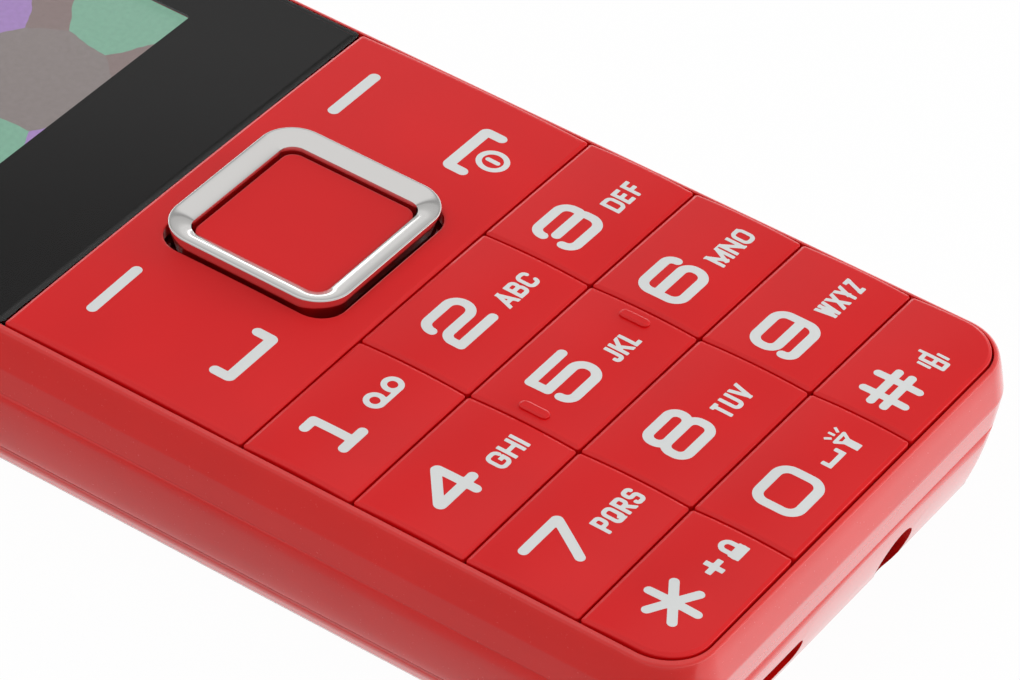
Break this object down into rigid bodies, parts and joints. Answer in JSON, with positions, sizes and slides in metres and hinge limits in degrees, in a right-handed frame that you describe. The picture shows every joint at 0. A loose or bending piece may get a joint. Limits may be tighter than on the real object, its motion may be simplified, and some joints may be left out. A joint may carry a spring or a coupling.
{
  "type": "feature phone",
  "caption": "Red bar phone with a number keypad, a chrome four-way ring round a centre key, and a small display behind a black window.",
  "frame": {"origin": "middle of the outline, on the surface that the back rests on", "axes": "+Z out of the face, +Y along the body towards the earpiece, +X to the right of the face"},
  "size_m": [0.0504, 0.114, 0.0165],
  "materials": {
    "red_front": "satin moulded polycarbonate, dyed red",
    "red_keys": "fine-textured red key plastic with pale legends",
    "red_back": "satin red polycarbonate",
    "chrome": "bright chromium plate on moulded plastic",
    "window": "clear acrylic, polished",
    "black_film": "black printed film",
    "screen": "lit colour display",
    "light_guide": "white light guide",
    "sheet_steel": "folded sheet steel",
    "polyimide": "amber flex film",
    "black_plastic": "moulded black plastic",
    "silicone": "translucent silicone",
    "dome_film": "polyester film with steel domes",
    "led_body": "white light body",
    "board": "green solder mask on glass laminate",
    "tin": "tinned sheet",
    "rubber": "black rubber",
    "battery_wrap": "grey battery wrap",
    "gold": "gold-plated spring contacts",
    "mesh": "black woven mesh",
    "tungsten": "sintered heavy alloy",
    "antenna_foil": "plated antenna sheet",
    "lens": "clear torch lens",
    "screw_steel": "blackened screw steel"
  },
  "bodies": {
    "phone_body": {"front_housing": "red_front", "rear_housing": "red_back", "window_lens": "window", "window_adhesive": "black_film", "display_panel": "screen", "display_backlight": "light_guide", "display_frame": "sheet_steel", "display_flex": "polyimide", "earpiece": "black_plastic", "earpiece_mesh": "mesh", "keypad_mat": "silicone", "dome_sheet": "dome_film", "keypad_leds": "led_body", "main_board": "board", "rf_shield": "tin", "base_shield": "tin", "sim_holder": "sheet_steel", "port_board": "board", "headphone_jack": "black_plastic", "usb_port": "sheet_steel", "microphone": "sheet_steel", "microphone_boot": "rubber", "battery": "battery_wrap", "battery_contacts": "gold", "loudspeaker": "black_plastic", "speaker_mesh": "mesh", "vibration_motor": "sheet_steel", "antenna_carrier": "black_plastic", "antenna": "antenna_foil", "torch_led": "led_body", "torch_lens": "lens", "housing_screws": "screw_steel"},
    "back_cover": {"back_cover": "red_back"},
    "function_plate": {"function_plate": "red_keys"},
    "nav_pivot": {"nav_pivot": "black_plastic"},
    "nav_ring": {"nav_ring": "chrome"},
    "ok_key": {"ok_key": "red_keys"},
    "vibration_weight": {"vibration_weight": "tungsten"},
    "key_1": {"key_1": "red_keys"},
    "key_2": {"key_2": "red_keys"},
    "key_3": {"key_3": "red_keys"},
    "key_4": {"key_4": "red_keys"},
    "key_5": {"key_5": "red_keys"},
    "key_6": {"key_6": "red_keys"},
    "key_7": {"key_7": "red_keys"},
    "key_8": {"key_8": "red_keys"},
    "key_9": {"key_9": "red_keys"},
    "key_star": {"key_star": "red_keys"},
    "key_0": {"key_0": "red_keys"},
    "key_hash": {"key_hash": "red_keys"}
  },
  "joints": [
    {"name": "key_1_press", "type": "slide", "parent": "phone_body", "child": "key_1", "axis": [0, 0, -1], "range_m": [0, 0.00035], "stiffness_N_per_m": 2000},
    {"name": "key_2_press", "type": "slide", "parent": "phone_body", "child": "key_2", "axis": [0, 0, -1], "range_m": [0, 0.00035], "stiffness_N_per_m": 2000},
    {"name": "key_3_press", "type": "slide", "parent": "phone_body", "child": "key_3", "axis": [0, 0, -1], "range_m": [0, 0.00035], "stiffness_N_per_m": 2000},
    {"name": "key_4_press", "type": "slide", "parent": "phone_body", "child": "key_4", "axis": [0, 0, -1], "range_m": [0, 0.00035], "stiffness_N_per_m": 2000},
    {"name": "key_5_press", "type": "slide", "parent": "phone_body", "child": "key_5", "axis": [0, 0, -1], "range_m": [0, 0.00035], "stiffness_N_per_m": 2000},
    {"name": "key_6_press", "type": "slide", "parent": "phone_body", "child": "key_6", "axis": [0, 0, -1], "range_m": [0, 0.00035], "stiffness_N_per_m": 2000},
    {"name": "key_7_press", "type": "slide", "parent": "phone_body", "child": "key_7", "axis": [0, 0, -1], "range_m": [0, 0.00035], "stiffness_N_per_m": 2000},
    {"name": "key_8_press", "type": "slide", "parent": "phone_body", "child": "key_8", "axis": [0, 0, -1], "range_m": [0, 0.00035], "stiffness_N_per_m": 2000},
    {"name": "key_9_press", "type": "slide", "parent": "phone_body", "child": "key_9", "axis": [0, 0, -1], "range_m": [0, 0.00035], "stiffness_N_per_m": 2000},
    {"name": "key_star_press", "type": "slide", "parent": "phone_body", "child": "key_star", "axis": [0, 0, -1], "range_m": [0, 0.00035], "stiffness_N_per_m": 2000},
    {"name": "key_0_press", "type": "slide", "parent": "phone_body", "child": "key_0", "axis": [0, 0, -1], "range_m": [0, 0.00035], "stiffness_N_per_m": 2000},
    {"name": "key_hash_press", "type": "slide", "parent": "phone_body", "child": "key_hash", "axis": [0, 0, -1], "range_m": [0, 0.00035], "stiffness_N_per_m": 2000},
    {"name": "ok_press", "type": "slide", "parent": "phone_body", "child": "ok_key", "axis": [0, 0, -1], "range_m": [0, 0.0003], "stiffness_N_per_m": 2000},
    {"name": "function_plate_rock", "type": "hinge", "parent": "phone_body", "child": "function_plate", "pos_m": [0, -0.00503, 0.01455], "axis": [0, 1, 0], "range_deg": [-0.7, 0.7], "stiffness_Nm_per_rad": 2},
    {"name": "nav_left_right", "type": "hinge", "parent": "phone_body", "child": "nav_pivot", "pos_m": [0, -0.00503, 0.0127], "axis": [0, 1, 0], "range_deg": [-1.5, 1.5], "stiffness_Nm_per_rad": 0.6},
    {"name": "nav_up_down", "type": "hinge", "parent": "nav_pivot", "child": "nav_ring", "pos_m": [0, -0.00503, 0.0127], "axis": [1, 0, 0], "range_deg": [-1.5, 1.5], "stiffness_Nm_per_rad": 0.6},
    {"name": "cover_slide", "type": "slide", "parent": "phone_body", "child": "back_cover", "axis": [0, 1, 0], "range_m": [0, 0.004]},
    {"name": "weight_spin", "type": "hinge", "parent": "phone_body", "child": "vibration_weight", "pos_m": [-0.011, 0.02415, 0.00535], "axis": [1, 0, 0], "continuous": true}
  ]
}
